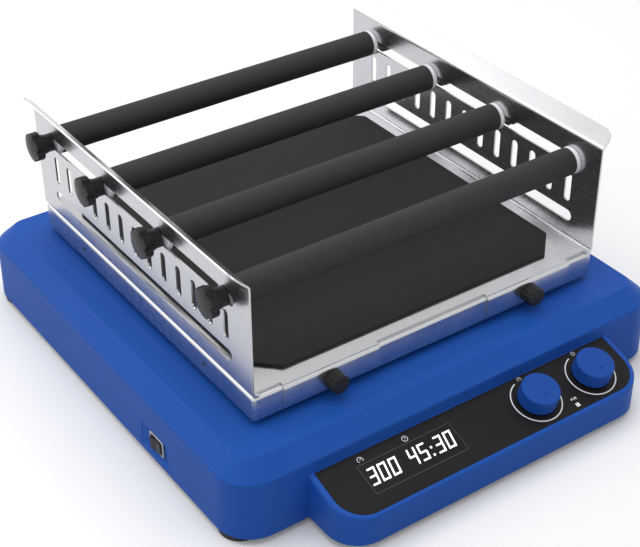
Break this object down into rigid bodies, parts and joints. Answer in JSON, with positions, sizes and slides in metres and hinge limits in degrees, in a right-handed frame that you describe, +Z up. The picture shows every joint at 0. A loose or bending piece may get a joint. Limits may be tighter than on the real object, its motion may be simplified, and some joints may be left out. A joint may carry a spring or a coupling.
{
  "type": "orbital shaker",
  "caption": "Benchtop laboratory orbital shaker: low painted housing with sloping control console, slotted platform carriage with foam covered clamping bars on an eccentric drive.",
  "frame": {"origin": "middle of the whole instrument's outline from above, at the bench under its feet", "axes": "+Z up, -Y toward the user at the control console, +X to the user's right"},
  "size_m": [0.417, 0.4658, 0.2039],
  "materials": {
    "blue_paint": "satin powder coat",
    "zinc_steel": "zinc plated sheet",
    "foot_rubber": "matt",
    "panel_film": "satin printed film",
    "lens": "smoked, glossy",
    "module_plastic": "moulded",
    "circuit_board": "green laminate with solder mask",
    "encoder_metal": "nickel plated",
    "led_clear": "diffusing light guide",
    "knob_plastic": "moulded, satin, dyed like the housing",
    "black_plastic": "moulded, fine grain",
    "switch_chrome": "bright plated bezel",
    "inlet_plastic": "moulded",
    "motor_steel": "black enamel",
    "supply_case": "plain sheet",
    "frame_aluminium": "milled plate",
    "cast_iron": "machined on its seats",
    "bearing_steel": "ground",
    "belt_rubber": "matt",
    "bronze": "turned bearing bronze in a cast seat",
    "shaft_steel": "turned",
    "polished_steel": "polished stainless sheet",
    "hub_aluminium": "die cast",
    "mat_rubber": "matt, fine grain",
    "foam": "matt foam with skin",
    "nylon": "natural nylon"
  },
  "bodies": {
    "base": {"housing_shell": "blue_paint", "base_plate": "zinc_steel", "feet": "foot_rubber", "control_panel": "panel_film", "display_window": "lens", "display_module": "module_plastic", "control_board": "circuit_board", "speed_encoder": "encoder_metal", "time_encoder": "encoder_metal", "status_led": "led_clear", "switch_body": "switch_chrome", "power_inlet": "inlet_plastic", "drive_motor": "motor_steel", "motor_bracket": "zinc_steel", "power_supply": "supply_case", "drive_frame": "frame_aluminium", "main_bearing_block": "cast_iron", "main_bearings": "bearing_steel", "drive_belt": "belt_rubber", "guide_bearing_1": "bronze", "guide_bearing_2": "bronze", "guide_bearing_3": "bronze"},
    "drive": {"drive_crank": "shaft_steel", "driven_pulley": "frame_aluminium"},
    "platform": {"tray": "polished_steel", "centre_hub": "hub_aluminium", "guide_hubs": "hub_aluminium", "carriage": "polished_steel", "rubber_mat": "mat_rubber"},
    "motor_shaft": {"motor_pulley": "shaft_steel"},
    "guide_1": {"guide_crank_1": "shaft_steel"},
    "guide_2": {"guide_crank_2": "shaft_steel"},
    "guide_3": {"guide_crank_3": "shaft_steel"},
    "bar_1": {"bar_rod_1": "shaft_steel", "bar_sleeve_1": "foam", "bar_bushes_1": "nylon"},
    "clamp_left_1": {"clamp_knob_left_1": "black_plastic"},
    "clamp_right_1": {"clamp_knob_right_1": "black_plastic"},
    "bar_2": {"bar_rod_2": "shaft_steel", "bar_sleeve_2": "foam", "bar_bushes_2": "nylon"},
    "clamp_left_2": {"clamp_knob_left_2": "black_plastic"},
    "clamp_right_2": {"clamp_knob_right_2": "black_plastic"},
    "bar_3": {"bar_rod_3": "shaft_steel", "bar_sleeve_3": "foam", "bar_bushes_3": "nylon"},
    "clamp_left_3": {"clamp_knob_left_3": "black_plastic"},
    "clamp_right_3": {"clamp_knob_right_3": "black_plastic"},
    "bar_4": {"bar_rod_4": "shaft_steel", "bar_sleeve_4": "foam", "bar_bushes_4": "nylon"},
    "clamp_left_4": {"clamp_knob_left_4": "black_plastic"},
    "clamp_right_4": {"clamp_knob_right_4": "black_plastic"},
    "tray_screw_left": {"tray_knob_left": "black_plastic"},
    "tray_screw_right": {"tray_knob_right": "black_plastic"},
    "speed_stem": {"speed_spindle": "shaft_steel"},
    "speed_dial": {"speed_knob": "knob_plastic"},
    "time_stem": {"time_spindle": "shaft_steel"},
    "time_dial": {"time_knob": "knob_plastic"},
    "switch_rocker": {"rocker": "black_plastic"}
  },
  "joints": [
    {"name": "drive_spin", "type": "hinge", "parent": "base", "child": "drive", "pos_m": [0, 0.01965, 0.05], "axis": [0, 0, 1], "continuous": true},
    {"name": "platform_orbit", "type": "hinge", "parent": "drive", "child": "platform", "pos_m": [0, 0.02465, 0.08], "axis": [0, 0, 1], "continuous": true},
    {"name": "motor_spin", "type": "hinge", "parent": "base", "child": "motor_shaft", "pos_m": [-0.112, 0.13665, 0.05], "axis": [0, 0, 1], "continuous": true},
    {"name": "guide_spin_1", "type": "hinge", "parent": "base", "child": "guide_1", "pos_m": [-0.11, -0.07535, 0.05], "axis": [0, 0, 1], "continuous": true},
    {"name": "guide_spin_2", "type": "hinge", "parent": "base", "child": "guide_2", "pos_m": [0.11, -0.07535, 0.05], "axis": [0, 0, 1], "continuous": true},
    {"name": "guide_spin_3", "type": "hinge", "parent": "base", "child": "guide_3", "pos_m": [0, 0.13965, 0.05], "axis": [0, 0, 1], "continuous": true},
    {"name": "bar_slide_1", "type": "slide", "parent": "platform", "child": "bar_1", "axis": [0, 1, 0], "range_m": [-0.031, 0]},
    {"name": "clamp_left_1_turn", "type": "hinge", "parent": "bar_1", "child": "clamp_left_1", "pos_m": [-0.175, 0.16259, 0.1683], "axis": [-1, 0, 0], "range_deg": [0, 270]},
    {"name": "clamp_right_1_turn", "type": "hinge", "parent": "bar_1", "child": "clamp_right_1", "pos_m": [0.175, 0.16259, 0.1683], "axis": [1, 0, 0], "range_deg": [0, 270]},
    {"name": "bar_slide_2", "type": "slide", "parent": "platform", "child": "bar_2", "axis": [0, 1, 0], "range_m": [-0.031, 0.031]},
    {"name": "clamp_left_2_turn", "type": "hinge", "parent": "bar_2", "child": "clamp_left_2", "pos_m": [-0.175, 0.07514, 0.1683], "axis": [-1, 0, 0], "range_deg": [0, 270]},
    {"name": "clamp_right_2_turn", "type": "hinge", "parent": "bar_2", "child": "clamp_right_2", "pos_m": [0.175, 0.07514, 0.1683], "axis": [1, 0, 0], "range_deg": [0, 270]},
    {"name": "bar_slide_3", "type": "slide", "parent": "platform", "child": "bar_3", "axis": [0, 1, 0], "range_m": [-0.031, 0.031]},
    {"name": "clamp_left_3_turn", "type": "hinge", "parent": "bar_3", "child": "clamp_left_3", "pos_m": [-0.175, -0.01561, 0.1683], "axis": [-1, 0, 0], "range_deg": [0, 270]},
    {"name": "clamp_right_3_turn", "type": "hinge", "parent": "bar_3", "child": "clamp_right_3", "pos_m": [0.175, -0.01561, 0.1683], "axis": [1, 0, 0], "range_deg": [0, 270]},
    {"name": "bar_slide_4", "type": "slide", "parent": "platform", "child": "bar_4", "axis": [0, 1, 0], "range_m": [-0.005, 0.031]},
    {"name": "clamp_left_4_turn", "type": "hinge", "parent": "bar_4", "child": "clamp_left_4", "pos_m": [-0.175, -0.10801, 0.1683], "axis": [-1, 0, 0], "range_deg": [0, 270]},
    {"name": "clamp_right_4_turn", "type": "hinge", "parent": "bar_4", "child": "clamp_right_4", "pos_m": [0.175, -0.10801, 0.1683], "axis": [1, 0, 0], "range_deg": [0, 270]},
    {"name": "tray_knob_left_turn", "type": "hinge", "parent": "platform", "child": "tray_screw_left", "pos_m": [-0.096, -0.14535, 0.085], "axis": [0, -1, 0], "range_deg": [0, 270]},
    {"name": "tray_knob_right_turn", "type": "hinge", "parent": "platform", "child": "tray_screw_right", "pos_m": [0.096, -0.14535, 0.085], "axis": [0, -1, 0], "range_deg": [0, 270]},
    {"name": "speed_push", "type": "slide", "parent": "base", "child": "speed_stem", "axis": [0, 0.2857, -0.9583], "range_m": [0, 0.0012], "stiffness_N_per_m": 2500, "springref_m": -0.0008},
    {"name": "speed_turn", "type": "hinge", "parent": "speed_stem", "child": "speed_dial", "pos_m": [0.0505, -0.20692, 0.03877], "axis": [0, -0.2857, 0.9583], "continuous": true},
    {"name": "time_push", "type": "slide", "parent": "base", "child": "time_stem", "axis": [0, 0.2857, -0.9583], "range_m": [0, 0.0012], "stiffness_N_per_m": 2500, "springref_m": -0.0008},
    {"name": "time_turn", "type": "hinge", "parent": "time_stem", "child": "time_dial", "pos_m": [0.1075, -0.20692, 0.03877], "axis": [0, -0.2857, 0.9583], "continuous": true},
    {"name": "rocker_tilt", "type": "hinge", "parent": "base", "child": "switch_rocker", "pos_m": [-0.2025, -0.06495, 0.0217], "axis": [0, 0, 1], "range_deg": [-14, 0]}
  ],
  "couplings": [
    {"joint": "platform_orbit", "follows": "drive_spin", "ratio": -1},
    {"joint": "motor_spin", "follows": "drive_spin", "ratio": 3},
    {"joint": "guide_spin_1", "follows": "drive_spin", "ratio": 1},
    {"joint": "guide_spin_2", "follows": "drive_spin", "ratio": 1},
    {"joint": "guide_spin_3", "follows": "drive_spin", "ratio": 1}
  ]
}
